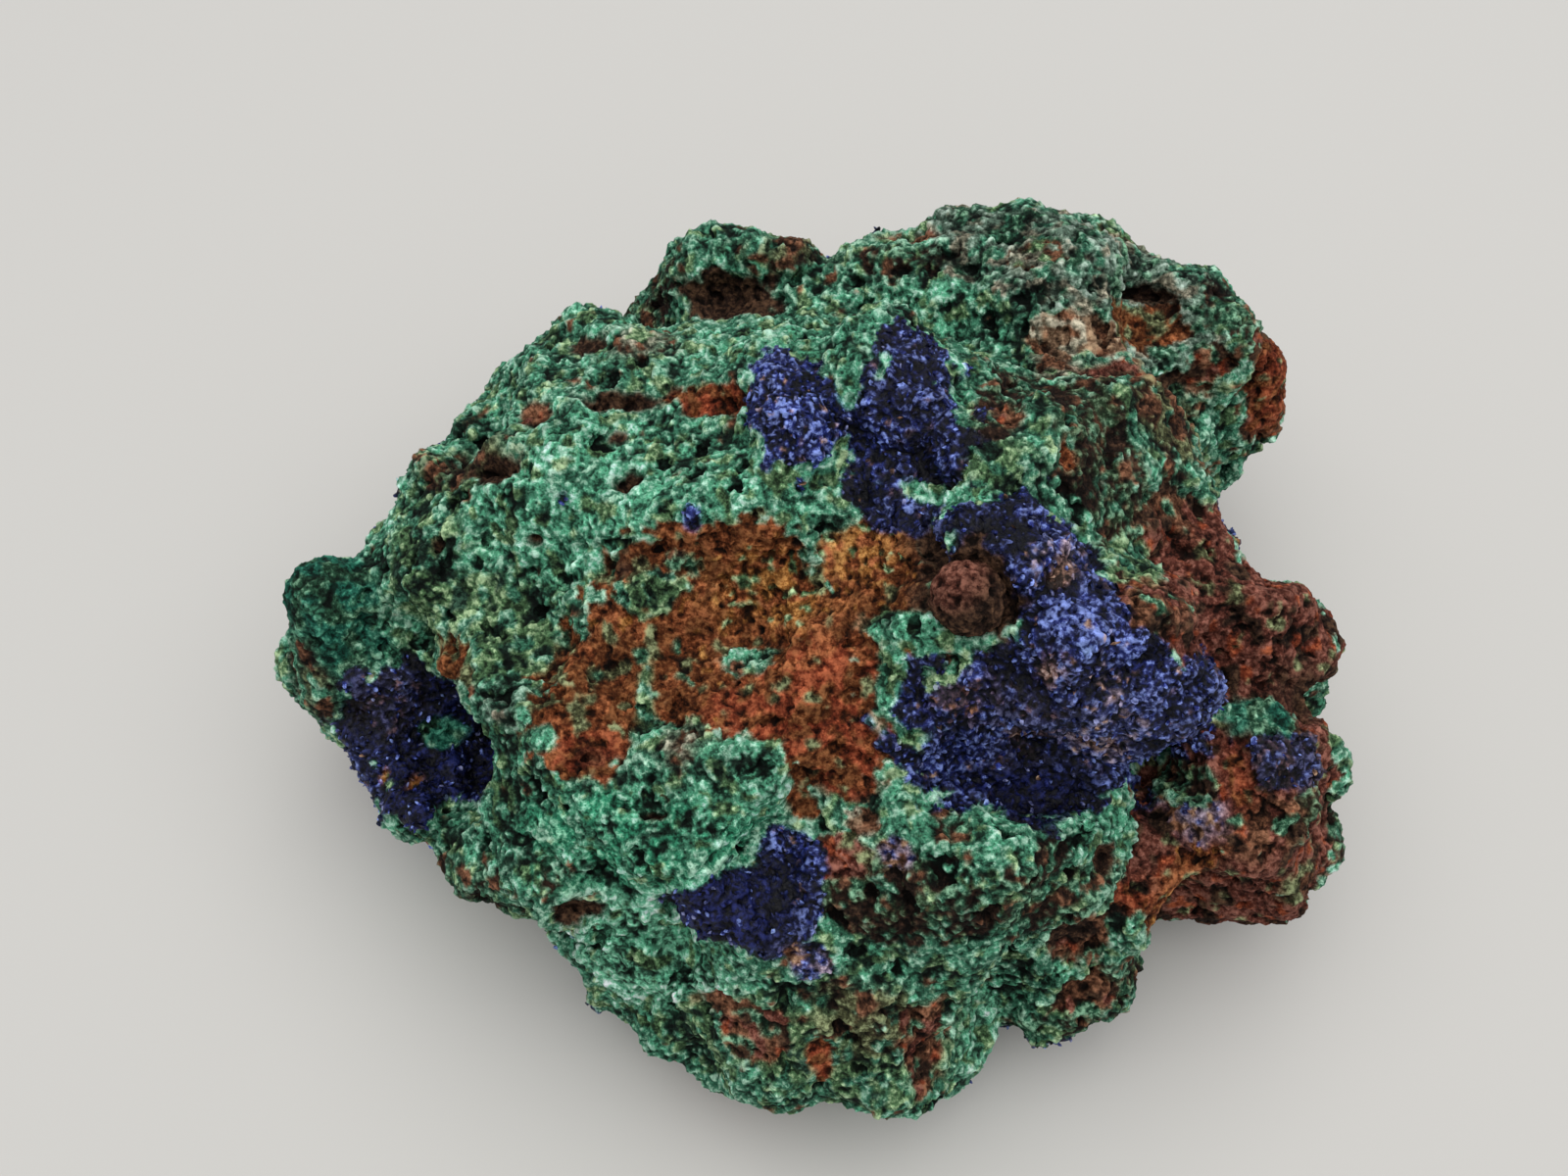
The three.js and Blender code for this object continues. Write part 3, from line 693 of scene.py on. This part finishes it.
def mixed_colour(tree, share, first, second, way="MIX"):
    return node(tree, "ShaderNodeMixRGB", [
        ("Fac", share), ("Color1", first), ("Color2", second),
    ], blend_type=way).outputs["Color"]


def empty_material(name):
    material = bpy.data.materials.new(name)
    material.use_nodes = True
    material.node_tree.nodes.clear()
    return material, material.node_tree


def ranged(tree, value, low, high, start=0.0, end=1.0):
    """Maps a value from one range to another, clamped."""
    return node(tree, "ShaderNodeMapRange", [
        ("Value", value), ("From Min", low), ("From Max", high), ("To Min", start), ("To Max", end),
    ]).outputs["Result"]


def summed(tree, first, second, **settings):
    return node(tree, "ShaderNodeMath", [(0, first), (1, second)], operation="ADD", **settings).outputs[0]


def mineral_material(name, roughness, specular, grain_size, bump_depth, deep):
    """Colours a mineral from its corners: painted shade in its recesses, its tone on the flanks, and pale at
    the tips, partly a painted highlight.

    Fine grains with gaps darkened as painted shade, each a little lighter or darker than the next, lie over
    that."""
    material, tree = empty_material(name)
    place = node(tree, "ShaderNodeTexCoord").outputs["Object"]
    tone = node(tree, "ShaderNodeAttribute", attribute_name="tone").outputs["Color"]
    tips = node(tree, "ShaderNodeAttribute", attribute_name="tips").outputs["Color"]
    rise = node(tree, "ShaderNodeAttribute", attribute_name="rise").outputs["Fac"]

    mottle = node(tree, "ShaderNodeTexNoise", [
        ("Vector", place), ("Scale", 0.85 / (grain_size * MM)), ("Detail", 4.0), ("Roughness", 0.7),
    ])
    shift = node(tree, "ShaderNodeVectorMath", [
        (0, mottle.outputs["Color"]), (1, [1.8 * grain_size * MM] * 3),
    ], operation="MULTIPLY").outputs[0]
    bent = node(tree, "ShaderNodeVectorMath", [(0, place), (1, shift)], operation="ADD").outputs[0]
    grain = node(tree, "ShaderNodeTexVoronoi", [("Vector", bent), ("Scale", 1 / (grain_size * MM))])
    top = ranged(tree, grain.outputs["Distance"], 0.1, 0.65, 1.0, 0.0)

    swing = summed(tree, ranged(tree, top, 0, 1, -0.10, 0.06),
                   ranged(tree, mottle.outputs["Fac"], 0.3, 0.7, -0.42, 0.42))
    height = summed(tree, rise, swing, use_clamp=True)
    # Painted shade: the tone darkened by deep for the recesses; the tips are paler, partly a painted highlight
    recess = mixed_colour(tree, 1.0, tone, (deep, deep, deep, 1), "MULTIPLY")
    lower = mixed_colour(tree, ranged(tree, height, 0.12, 0.5), recess, tone)
    colour = mixed_colour(tree, ranged(tree, height, 0.5, 0.88), lower, tips)
    luck = node(tree, "ShaderNodeSeparateColor", [("Color", grain.outputs["Color"])]).outputs[0]
    colour = mixed_colour(tree, 1.0, colour, ranged(tree, luck, 0, 1, *GRAIN_LUCK), "MULTIPLY")

    relief = summed(tree, ranged(tree, top, 0, 1, 0, 0.4), ranged(tree, mottle.outputs["Fac"], 0, 1, 0, 1.2))
    bump = node(tree, "ShaderNodeBump", [
        ("Strength", 1.0), ("Distance", bump_depth * MM), ("Height", relief),
    ])
    shader = node(tree, "ShaderNodeBsdfPrincipled", [
        ("Base Color", colour), ("Roughness", roughness),
        ("Specular IOR Level", specular), ("Normal", bump.outputs["Normal"]),
    ])
    node(tree, "ShaderNodeOutputMaterial", [("Surface", shader.outputs["BSDF"])])
    return material


# ---------------- mineral patches
def nearest_to_ray(points, ray):
    away = points - EYE
    return points[np.argmin(np.linalg.norm(np.cross(away, ray), axis=1))]


def reach_from(points, tree, pixel, half_pixels, turn=0):
    """The points near a pixel's ellipse, how far out each lies, 1 at its edge, and its smallest half size."""
    ray = pixel_ray(*pixel)
    hit = tree.ray_cast(Vector(EYE), Vector(ray))[0]
    middle = np.array(hit) if hit else nearest_to_ray(points, ray)
    scale = np.dot(middle - EYE, -BACK) / FOCAL_PIXELS
    angle = math.radians(turn)
    right = RIGHT * math.cos(angle) - UP * math.sin(angle)
    up = RIGHT * math.sin(angle) + UP * math.cos(angle)
    half = np.array([*half_pixels, PATCH_DEPTH * max(half_pixels)]) * scale
    away = points - middle
    there = np.flatnonzero(np.abs(away).max(axis=1) < half.max() + EDGE_REACH)
    away = away[there]
    reach = np.linalg.norm(np.stack([away @ right, away @ up, away @ ray], axis=1) / half, axis=1)
    return there, reach, half.min()


def patch_rises(points, tree):
    """How far the patches and swells stand out of the rock, in millimetres."""
    height = np.zeros(len(points))
    places = [(RISES[name], *place) for name, _, *place in SEEN_PATCHES if name in RISES]
    places += [(rise, *place) for _, *place, rise in SWELLS]
    for rise, *place in places:
        there, reach, _ = reach_from(points, tree, *place)
        height[there] += rise * np.maximum(1 - reach ** 2, 0) ** 1.5
    return height


def edge_wobble(points):
    """Millimetres by which the edge of a wide patch wanders at each point."""
    return sum(rise * ripple(points, width, 7.3) for width, rise in EDGE_NOISE)


def tone_colours(name):
    """The linear colours of a tone's flanks and tips."""
    _, flank, tip, _, _ = TONES[name]
    return linear(flank), linear(tip)


def plain_cover(count, tone, kind):
    """A cover of one tone for that many corners."""
    flank, tip = (np.tile(colour, (count, 1)) for colour in tone_colours(tone))
    return {"tone": flank, "tips": tip, "kind": np.full(count, kind)}


def fleck(cover, there, tone, share):
    """Turns a share of the colour, from 0 to 1 at each of some corners, into another tone."""
    flank, tip = tone_colours(tone)
    cover["tone"][there] = mix(cover["tone"][there], flank, share[:, None])
    cover["tips"][there] = mix(cover["tips"][there], tip, share[:, None])


def paint(cover, there, tone, inside):
    """Lays one patch over what is there. A tone fades softly into another tone of the same mineral."""
    mineral = TONES[tone][0]
    there, inside = there[inside > -TONE_WIDTH], inside[inside > -TONE_WIDTH]
    hard = smoothstep(-EDGE_WIDTH, EDGE_WIDTH, inside)
    soft = smoothstep(-TONE_WIDTH, TONE_WIDTH, inside)
    fleck(cover, there, tone, mix(hard, soft, cover["share"][there, mineral]))
    cover["share"][there] = mix(cover["share"][there], np.eye(3)[mineral], hard[:, None])
    cover["kind"][there[inside > 0]] = TONE_NAMES.index(tone)


def hidden_patches(points, normals):
    """Depths of the patches on the sides that the camera doesn't see, from noise."""
    seen = smoothstep(*HIDE_FACING, np.sum(normals * unit(EYE - points), axis=1))
    for tone, width, level, place in HIDDEN_PATCHES:
        yield tone, (ripple(points, width, place) - level) * width - seen * HIDE_DEPTH


def lay_minerals(points, normals, tree):
    """The share of each mineral at each point, its two colours and its kind, which is its tone's number."""
    cover = plain_cover(len(points), BASE_TONE, TONE_NAMES.index(BASE_TONE))
    cover["share"] = np.tile(np.eye(3)[MALACHITE], (len(points), 1))
    wobble = edge_wobble(points)
    for tone, depth in hidden_patches(points, normals):
        paint(cover, np.arange(len(points)), tone, depth + wobble)
    for _, tone, *place in SEEN_PATCHES:
        there, reach, size = reach_from(points, tree, *place)
        paint(cover, there, tone, (1 - reach) * size + wobble[there] * min(1, size / FREE_SIZE))
    return cover


# ---------------- the rock
def domes(distance):
    """Round lumps side by side from the distance to their middles: 1 there, and below 0 in the grooves."""
    return 1 - (distance / 0.62) ** 2


def billows(points, width, place):
    """Round lumps of irregular outline, side by side: about 0.5 on top, and -0.4 in the creases."""
    return 1.2 * np.abs(ripple(points, width, place)) - 0.4


def malachite_lumps(points):
    """Clumps of lumps, with pits between them."""
    bent = warped(points, 2.5, 0.6, 1.0)
    clumps = 0.40 * billows(bent, 2.6, 1.0) + 0.28 * billows(bent, 1.3, 2.0)
    return clumps + 0.4 * ripple(points, 3.2, 3.0) - 0.7 * smoothstep(0.38, 0.6, ripple(points, 1.7, 3.5))


def malachite_crumbs(points):
    """Fused crumbs. Gives their height in millimetres, their height from about -1 to 1, and their keys."""
    bent = warped(points, 0.8, 0.22, 11.0)
    nearest, _, _, key = cells(bent, 0.66, 12.0)
    peak = 0.2 * domes(nearest) + billows(bent, 0.62, 13.0) + 0.4 * ripple(points, 0.42, 14.0)
    return 0.30 * peak, peak, key


def azurite_lumps(points):
    """Low rounded swellings."""
    return 0.40 * domes(cells(points, 3.2, 4.0)[0]) + 0.6 * ripple(points, 1.9, 6.0)


def azurite_crumbs(points):
    """Crystals with flat faces that lie in all directions. Gives the same as malachite_crumbs()."""
    nearest, second, way, key = cells(warped(points, 0.9, 0.15, 21.0), 0.50, 22.0)
    slope = SLOPES[key % len(SLOPES)]
    crease = smoothstep(0.0, 0.25, second - nearest)
    tilt = np.einsum("ij,ij->i", way, slope)
    return 0.24 * tilt + 0.16 * crease * fraction(key, 5), 1.1 * tilt + crease - 0.9, key


def limonite_lumps(points):
    """Rough, with small sharp pits."""
    pits = smoothstep(0.3, 0.55, ripple(points, 1.5, 8.0))
    return 0.45 * ripple(points, 2.8, 7.0) + 0.15 * domes(cells(points, 2.1, 9.0)[0]) - 0.5 * pits


def limonite_crumbs(points):
    """Low grains with deep pores between them. Gives the same as malachite_crumbs()."""
    bent = warped(points, 0.7, 0.2, 31.0)
    nearest, _, _, key = cells(bent, 0.52, 32.0)
    pores = smoothstep(0.25, 0.5, ripple(points, 0.55, 33.0))
    grains = domes(nearest)
    height = 0.12 * grains - 0.22 * pores + 0.08 * ripple(points, 0.4, 34.0)
    return height, 0.5 * grains - 0.9 * pores + 0.1, key


LUMPS = {MALACHITE: malachite_lumps, AZURITE: azurite_lumps, LIMONITE: limonite_lumps}
CRUMBS = {MALACHITE: malachite_crumbs, AZURITE: azurite_crumbs, LIMONITE: limonite_crumbs}


def blurred(values, edges, rounds):
    return smoothed(values, edges, rounds, shares=(0.6,))


def lumps(points, share):
    """The height of the minerals' lumps in millimetres."""
    height = np.zeros(len(points))
    for mineral, shape in LUMPS.items():
        there = share[:, mineral] > 0.01
        height[there] += share[there, mineral] * shape(points[there])
    return height


def crumbs(points, share):
    """The height of the minerals' crumbs in millimetres and from about -1 to 1, and each crumb's key."""
    height, peak, key = np.zeros(len(points)), np.zeros(len(points)), np.zeros(len(points), np.uint32)
    for mineral, shape in CRUMBS.items():
        there = share[:, mineral] > 0.01
        part, top, found = shape(points[there])
        height[there] += share[there, mineral] * part
        peak[there] += share[there, mineral] * top
        main = share[there, mineral] > 0.5
        key[np.flatnonzero(there)[main]] = found[main]
    return height, peak, key


def smooth_solid():
    """The solid's surface, split and rounded."""
    points, faces = welded_mesh(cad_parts[NODE])
    for _ in range(SPLITS):
        points, faces = split_in_four(points, faces)
        edges, _ = edges_of(faces)
        points = smoothed(points, edges, SMOOTH_ROUNDS)
    return points, faces


def raised(points, normals, height):
    """Points moved along the normals, but not where the rock rests on the floor."""
    points = points + normals * (height * smoothstep(*FLOOR_FREE, points[:, 2]))[:, None]
    points[:, 2] = np.maximum(points[:, 2], 0)
    return points


def rock_surface():
    """The rock's corners and faces, and what covers each corner."""
    points, faces = smooth_solid()
    tree = BVHTree.FromPolygons(points.tolist(), faces.tolist())
    normals = corner_normals(points, faces)
    edges, _ = edges_of(faces)
    share = lay_minerals(points, normals, tree)["share"]
    values = {
        "normal": normals, "soft": blurred(share, edges, CRUST_BLUR), "wide": blurred(share, edges, RIM_BLUR),
    }
    points, faces, values = split_long_edges(points, faces, values)
    crust = values["soft"] @ np.array([CRUST_HEIGHT[mineral] for mineral in (MALACHITE, AZURITE, LIMONITE)])
    values["lumps"] = lumps(points, values["soft"])
    values["smooth"] = points
    points = raised(points, values["normal"], values["lumps"] + crust + patch_rises(points, tree))
    points, faces, values = split_long_edges(points, faces, values)

    cover = lay_minerals(values["smooth"], values["normal"], tree)
    height, peak, key = crumbs(points, cover["share"])
    points = raised(points, corner_normals(points, faces), height)
    cover["lumps"], cover["peak"], cover["key"] = values["lumps"], peak, key
    # A crust's rim near its edge, painted paler as a highlight
    cover["rim"] = cover["share"][:, MALACHITE] * (1 - values["wide"][:, MALACHITE])
    cover["normal"] = corner_normals(points, faces)
    return points, faces, cover


def fleck_and_paint_shade(points, cover):
    """Adds flecks, paints a darker tone into the recesses as painted shade, and gives every crumb a brightness
    of its own. Its rise paints shade low down and paler tips high up, partly a painted highlight.
    """
    # The relief's height, which paints shade into the recesses and pales the tips
    height = LUMP_SHADE * cover["lumps"] + CRUMB_SHADE * cover["peak"] + RIM_SHADE * cover["rim"]
    uneven = height + 0.45 * ripple(points, 1.6, 41.0) + 0.2 * ripple(points, 0.6, 42.0)
    for number, name in enumerate(TONE_NAMES):
        there = np.flatnonzero(cover["kind"] == number)
        if not len(there):
            continue
        for place, (other, width, share) in enumerate(FLECKS.get(name, ())):
            field = ripple(points[there], width, 50.0 + 3 * place + number)
            level = np.quantile(field, 1 - share)
            fleck(cover, there, other, smoothstep(level - 0.1, level + 0.1, field))
        # Painted shade: the darker tone laid where the relief is low
        recess_shade_tone, level = TONES[name][3:]
        fleck(cover, there, recess_shade_tone, smoothstep(level + 0.15, level - 0.15, uneven[there]))
    luck = np.exp(CRUMB_LUCK * (fraction(cover["key"], 9) - 0.5))[:, None]
    cover["tone"], cover["tips"] = np.clip(cover["tone"] * luck, 0, 1), np.clip(cover["tips"] * luck, 0, 1)
    # rise: painted shade low down and paler tips high up, partly a painted highlight
    cover["rise"] = np.clip(MIDDLE_SHADE + HEIGHT_SHADE * height, 0, 1)


def shades(cover, used=slice(None)):
    """What the materials read at the corners."""
    return {key: cover[key][used] for key in ("tone", "tips", "rise")}


def build_rock(points, faces, cover):
    """The rock as pieces side by side, each of one mineral and not too heavy."""
    kind = cover["share"][faces].mean(axis=1).argmax(axis=1)
    rock = []
    for mineral, name in ROCK_NAMES.items():
        own = faces[kind == mineral]
        order = np.argsort(points[own].mean(axis=1)[:, 0], kind="stable")
        count = math.ceil(len(own) / MOST_TRIANGLES)
        for number, some in enumerate(np.array_split(order, count), 1):
            used, corners = np.unique(own[some], return_inverse=True)
            full_name = name if count == 1 else f"{name}_{number}"
            piece = build_mesh(full_name, points[used], corners.reshape(-1, 3), shades(cover, used),
                               materials[mineral], cover["normal"][used])
            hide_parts(NODE)
            rock.append(piece)
            print(piece.name, len(some), "triangles")
    return rock


# ---------------- the ball
def round_shape():
    """The corners and faces of a ball of radius 1."""
    sphere = bmesh.new()
    bmesh.ops.create_icosphere(sphere, subdivisions=BALL_SPLITS, radius=1)
    corners = np.array([corner.co for corner in sphere.verts])
    faces = np.array([[corner.index for corner in face.verts] for face in sphere.faces])
    sphere.free()
    return corners, faces


def make_ball():
    """The brown ball of limonite that sits in a crevice beside the azurite's neck."""
    tree = BVHTree.FromPolygons(*(part.tolist() for part in smooth_solid()))
    hit, way, _, _ = tree.ray_cast(Vector(EYE), Vector(pixel_ray(*BALL_PIXEL)))
    normals, faces = round_shape()
    points = np.array(hit) - np.array(way) * BALL_SINK + normals * BALL_RADIUS
    height, peak, key = limonite_crumbs(points)
    cover = plain_cover(len(points), "dark umber", NO_TONE)
    cover.update(lumps=limonite_lumps(points), peak=peak, key=key, rim=np.zeros(len(points)))
    # The upper side painted paler and pinkish, partly its own colour and partly painted light from above
    top = smoothstep(0.2, 1.0, normals @ unit(np.array(BALL_TOP)))
    fleck(cover, np.arange(len(points)), "maroon", BALL_PINK_AND_LIGHT * top)
    points = points + normals * (BALL_RELIEF * cover["lumps"] + height)[:, None]
    fleck_and_paint_shade(points, cover)
    return build_mesh("limonite_ball", points, faces, shades(cover), materials[LIMONITE],
                      corner_normals(points, faces))


# ---------------- blades
def blade():
    """A crystal with a four-sided section and a wedge for its tip. It points along Z, from -1 to 1."""
    ring = np.array([(1, 0), (0, 0.55), (-1, 0), (0, -0.55)])
    foot = np.hstack([ring * 0.8, np.full((4, 1), -1.0)])
    shoulder = np.hstack([ring, np.full((4, 1), 0.45)])
    tip = np.array([(0.35, 0, 1.0), (-0.35, 0, 1.0)])
    sides = [(i, (i + 1) % 4, (i + 1) % 4 + 4, i + 4) for i in range(4)]
    faces = [triangle for a, b, c, d in sides for triangle in ((a, b, c), (a, c, d))]
    faces += [(4, 5, 8), (5, 6, 9), (5, 9, 8), (6, 7, 9), (7, 4, 8), (7, 8, 9), (0, 2, 1), (0, 3, 2)]
    return np.vstack([foot, shoulder, tip]), np.array(faces)


def scatter(points, faces, density):
    """Places on the surface, about one in each cube of a grid. Gives each one's face and corner weights."""
    areas = np.linalg.norm(face_crosses(points, faces), axis=1) / 2 * density[faces].mean(axis=1)
    tries = int(areas.sum() / BLADE_SPACING ** 2 * TRIES_PER_CELL)
    face = chance.choice(len(faces), tries, p=areas / areas.sum())
    root, along = np.sqrt(chance.random(tries)), chance.random(tries)
    weights = np.stack([1 - root, root * (1 - along), root * along], axis=1)
    places = at_corners(points, faces, face, weights)
    keys = np.floor(places / BLADE_SPACING).astype(np.int64)
    _, first = np.unique(keys, axis=0, return_index=True)
    first.sort()
    return face[first], weights[first]


def at_corners(values, faces, face, weights):
    """A value at places on the mesh, from the values at the corners of their faces."""
    shape = (len(face), 3) + (1,) * (values.ndim - 1)
    return (values[faces[face]] * weights.reshape(shape)).sum(axis=1)


def grow(places, axes, sizes):
    """Joins a blade at every place. Gives corners, faces, and each corner's height along its axis."""
    corners, triangles = blade()
    count = len(places)
    kinds = corners * (1 + BLADE_JITTER * chance.uniform(-1, 1, (BLADE_KINDS, len(corners), 1)))
    local = kinds[chance.integers(BLADE_KINDS, size=count)] * sizes[:, None, :]
    side = unit(np.cross(axes, chance.normal(size=(count, 3))))
    other = np.cross(axes, side)
    basis = np.stack([side, other, axes], axis=1)
    grown = np.einsum("nij,njk->nik", local, basis) + places[:, None, :]
    faces = triangles[None] + (np.arange(count) * len(corners))[:, None, None]
    return grown.reshape(-1, 3), faces.reshape(-1, 3), local[:, :, 2] / sizes[:, 2:3]


def blade_colours(tone, tips):
    """Each blade's tone and tip colour: its place's own, or a stray's, made lighter or darker by luck."""
    count = len(tone)
    draw = chance.random(count)
    for stray, share in BLADE_STRAYS:
        flank, tip = tone_colours(stray)
        chosen = ((draw >= 0) & (draw < share))[:, None]
        tone, tips = np.where(chosen, flank, tone), np.where(chosen, tip, tips)
        draw = draw - share
    luck = np.exp(BLADE_LUCK * chance.normal(size=(count, 1)))
    return np.clip(tone * luck, 0, 1), np.clip(tips * np.sqrt(luck), 0, 1)


def make_blades(points, faces, cover):
    """Grows the azurite's blades on the rock, as one piece."""
    share = smoothstep(0.35, 0.75, cover["share"][:, AZURITE])
    peaks = smoothstep(-0.5, 0.35, cover["lumps"])
    free = smoothstep(0.6, 2.5, points[:, 2])
    density = share * free * mix(1 - PIT_THINNING, 1, peaks) + BARE_DENSITY
    face, weights = scatter(points, faces, density)
    kept = at_corners(density, faces, face, weights) > chance.random(len(face)) * 0.6
    spots = faces, face[kept], weights[kept]

    place = at_corners(points, *spots)
    count = len(place)
    axis = unit(at_corners(cover["normal"], *spots) + BLADE_LEAN * chance.normal(size=place.shape))
    peak = at_corners(peaks, *spots)
    width = chance.uniform(*BLADE_WIDTH, (count, 2))
    length = chance.uniform(*BLADE_LENGTH, count) * (0.75 + 0.35 * peak)
    place = place + axis * (length * BLADE_LIFT)[:, None]
    corners, triangles, up = grow(place, axis, np.column_stack([width, length]))
    corners[:, 2] = np.maximum(corners[:, 2], FLOOR_GAP)

    tone, tips = blade_colours(at_corners(cover["tone"], *spots), at_corners(cover["tips"], *spots))
    # Blades in the hollows painted darker and those on the lumps paler, as painted shade; their tips paler as
    # a painted highlight
    base = 0.25 + 0.35 * peak + 0.15 * chance.normal(size=count)
    values = {
        "tone": np.repeat(tone, up.shape[1], axis=0),
        "tips": np.repeat(tips, up.shape[1], axis=0),
        "rise": np.clip(base[:, None] + BLADE_SHADE * up, 0, 1).ravel(),
    }
    print("azurite_blades", len(triangles), "triangles")
    return build_mesh("azurite_blades", corners, triangles, values, materials[AZURITE])


# ---------------- floor and lights
def make_floor():
    bpy.ops.mesh.primitive_plane_add(size=FLOOR_SIZE, location=(0, 0, 0))
    floor = bpy.context.object
    floor.name = "floor"
    material, tree = empty_material("floor")
    shader = node(tree, "ShaderNodeBsdfPrincipled", [
        ("Base Color", (*linear(FLOOR_TONE), 1)), ("Roughness", 0.6), ("Specular IOR Level", 0.2),
    ])
    node(tree, "ShaderNodeOutputMaterial", [("Surface", shader.outputs["BSDF"])])
    floor.data.materials.append(material)
    floor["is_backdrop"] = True


def add_area_light(name, place, size, power, colour):
    """A square lamp that faces the middle of the specimen."""
    data = bpy.data.lights.new(name, "AREA")
    data.size, data.energy, data.color = size, power, colour
    lamp = bpy.data.objects.new(name, data)
    bpy.context.scene.collection.objects.link(lamp)
    lamp.location = place
    lamp.rotation_euler = (Vector(AIM * MM) - Vector(place)).to_track_quat("-Z", "Y").to_euler()


def make_lights():
    world = bpy.data.worlds.new("world")
    bpy.context.scene.world = world
    world.use_nodes = True
    background = world.node_tree.nodes["Background"]
    background.inputs["Color"].default_value = SKY_COLOUR
    background.inputs["Strength"].default_value = SKY_STRENGTH
    add_area_light("window light", WINDOW_PLACE, WINDOW_SIZE, WINDOW_POWER, WINDOW_COLOUR)


make_camera()
materials = {mineral: mineral_material(*look) for mineral, look in LOOKS.items()}
rock_points, rock_faces, rock_cover = rock_surface()
fleck_and_paint_shade(rock_points, rock_cover)
pieces = build_rock(rock_points, rock_faces, rock_cover)
pieces.append(make_ball())
pieces.append(make_blades(rock_points, rock_faces, rock_cover))
for piece in pieces:
    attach(piece, "root")
make_floor()
make_lights()
bpy.context.scene.view_settings.view_transform = "Standard"

boxes = {"cad": cad_box, "visual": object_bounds()}
{name: [list(corner) for corner in box] for name, box in boxes.items()}
